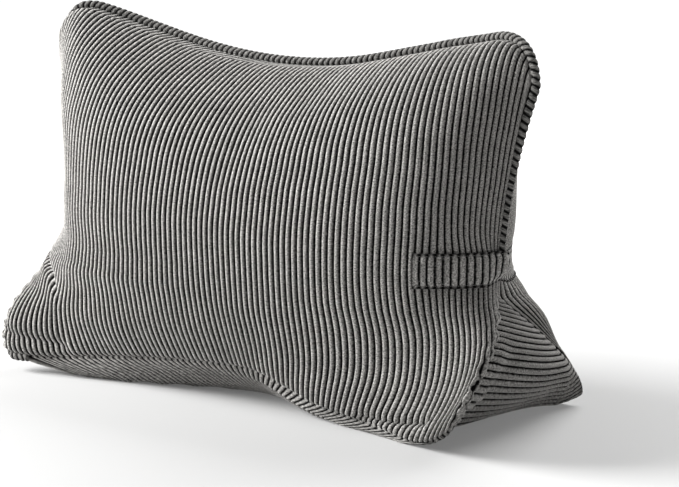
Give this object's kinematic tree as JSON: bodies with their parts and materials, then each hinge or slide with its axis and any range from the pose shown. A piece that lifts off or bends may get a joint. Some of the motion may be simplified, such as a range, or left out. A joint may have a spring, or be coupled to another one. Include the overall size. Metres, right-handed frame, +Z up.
{
  "type": "triangular backrest pillow",
  "caption": "Stuffed triangular backrest pillow in ribbed corduroy with a sagging piped top edge, drawn-in sides, folded-in end gussets and a flat carry strap on one side.",
  "frame": {"origin": "middle of the overall box at floor level", "axes": "+X along the pillow towards the strap, +Y from the front panel to the back panel, +Z up"},
  "size_m": [0.5978, 0.2369, 0.3671],
  "materials": {
    "corduroy": "matte wide-wale corduroy",
    "corduroy_trim": "matte wide-wale corduroy"
  },
  "bodies": {
    "root": {"cushion": "corduroy", "piping": "corduroy_trim", "handle": "corduroy_trim"}
  },
  "joints": []
}
